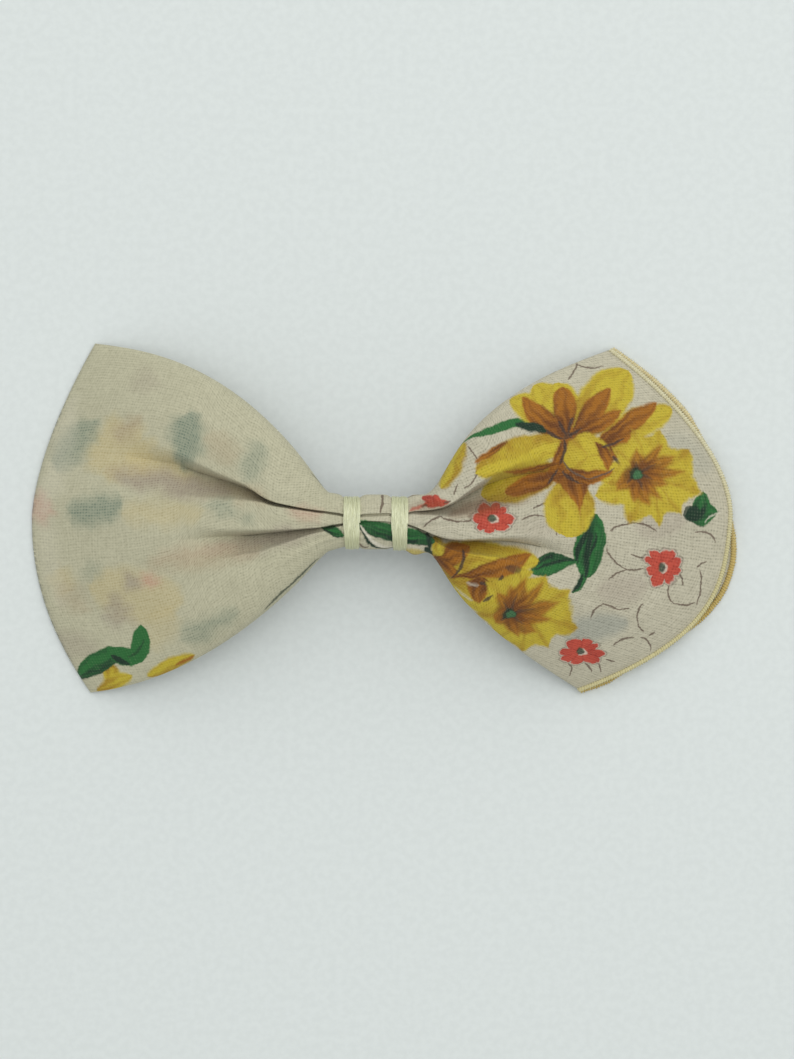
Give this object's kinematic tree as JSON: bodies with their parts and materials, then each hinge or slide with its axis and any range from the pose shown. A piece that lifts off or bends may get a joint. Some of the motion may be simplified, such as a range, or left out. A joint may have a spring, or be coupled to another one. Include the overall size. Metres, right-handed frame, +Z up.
{
  "type": "hair bow",
  "caption": "Gathered cloth hair bow of a folded printed handkerchief, lashed by two thread bindings to an arched spring clip with a hinged clasp.",
  "frame": {"origin": "on the table under the middle of the bow's box; the neck's centre lies 1.9 mm to -X and 0.8 mm to -Y of it", "axes": "+X along the bow from the folded end to the hemmed end, +Y across it, +Z up from the table through the back to the front"},
  "size_m": [0.1413, 0.07, 0.0177],
  "materials": {
    "printed_cotton": "matte plain-weave cotton with a floral print",
    "hem_thread": "matte overlock stitching",
    "binding_floss": "twisted cotton floss with a soft sheen",
    "clip_steel": "nickel-plated spring steel"
  },
  "bodies": {
    "bow": {"front_leaf": "printed_cotton", "back_leaf": "printed_cotton", "front_hem": "hem_thread", "back_hem": "hem_thread", "left_binding": "binding_floss", "right_binding": "binding_floss", "clip_bar": "clip_steel", "tension_strip": "clip_steel", "hinge_pin": "clip_steel", "catch_base": "clip_steel", "catch_rivet": "clip_steel"},
    "clasp": {"clasp_arm": "clip_steel"},
    "upper_tab": {"upper_prong": "clip_steel"},
    "lower_tab": {"lower_prong": "clip_steel"}
  },
  "joints": [
    {"name": "clasp_hinge", "type": "hinge", "parent": "bow", "child": "clasp", "pos_m": [-0.0289, -0.0008, 0.0022], "axis": [0, 1, 0], "range_deg": [0, 75]},
    {"name": "upper_squeeze", "type": "hinge", "parent": "bow", "child": "upper_tab", "pos_m": [0.025, 0.0019, 0.00564], "axis": [-1, 0, 0], "range_deg": [0, 8], "stiffness_Nm_per_rad": 0.002},
    {"name": "lower_squeeze", "type": "hinge", "parent": "bow", "child": "lower_tab", "pos_m": [0.025, -0.0035, 0.00564], "axis": [1, 0, 0], "range_deg": [0, 8], "stiffness_Nm_per_rad": 0.002}
  ],
  "couplings": [
    {"joint": "lower_squeeze", "follows": "upper_squeeze", "ratio": 1}
  ]
}
